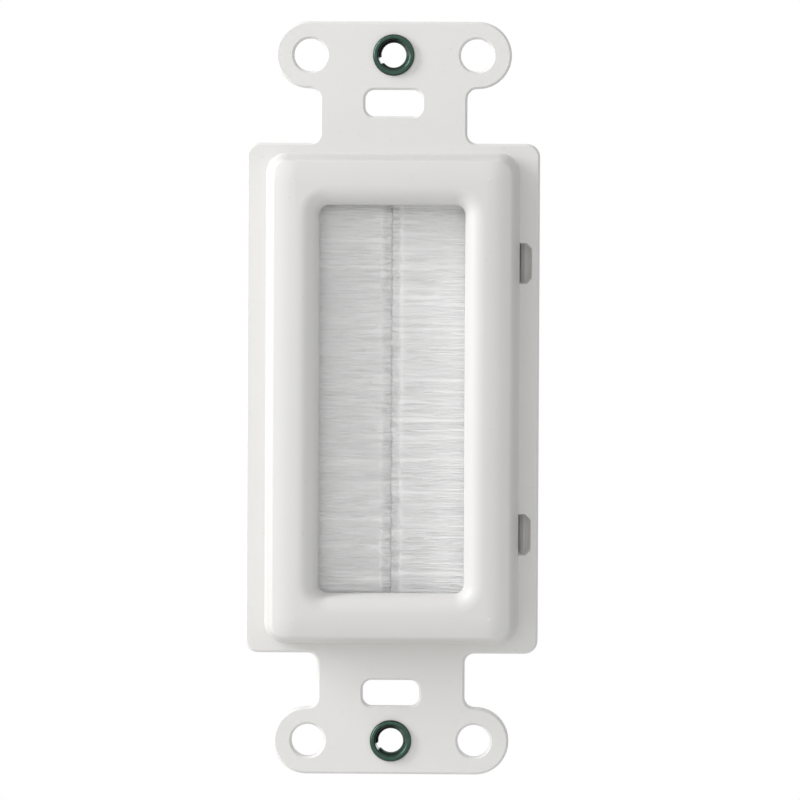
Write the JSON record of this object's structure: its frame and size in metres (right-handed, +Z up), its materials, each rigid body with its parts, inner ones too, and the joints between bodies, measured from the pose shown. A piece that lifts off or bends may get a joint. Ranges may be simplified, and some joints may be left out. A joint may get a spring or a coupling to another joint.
{
  "type": "cable pass-through wall plate",
  "caption": "Decorator style strap insert with a raised rectangular bezel round a brush-lined opening, through which cables pass into a wall.",
  "frame": {"origin": "centre of the cable opening, on the plane of the strap's back face, which meets the wall", "axes": "+X to the right seen from the room, +Z up, -Y out of the wall towards the room"},
  "size_m": [0.0414, 0.0145, 0.1062],
  "materials": {
    "frame_plastic": "fine satin moulded white",
    "retainer_plastic": "plain moulded white",
    "eyelet_metal": "dark plated, polished",
    "channel_metal": "mill finish, folded",
    "core_wire_steel": "drawn wire",
    "bristle_nylon": "silvery white filament"
  },
  "bodies": {
    "root": {"front_frame": "frame_plastic", "rear_retainer": "retainer_plastic", "top_threaded_eyelet": "eyelet_metal", "bottom_threaded_eyelet": "eyelet_metal", "left_brush_channel": "channel_metal", "right_brush_channel": "channel_metal", "left_core_wire": "core_wire_steel", "right_core_wire": "core_wire_steel", "left_bristles": "bristle_nylon", "right_bristles": "bristle_nylon"}
  },
  "joints": []
}
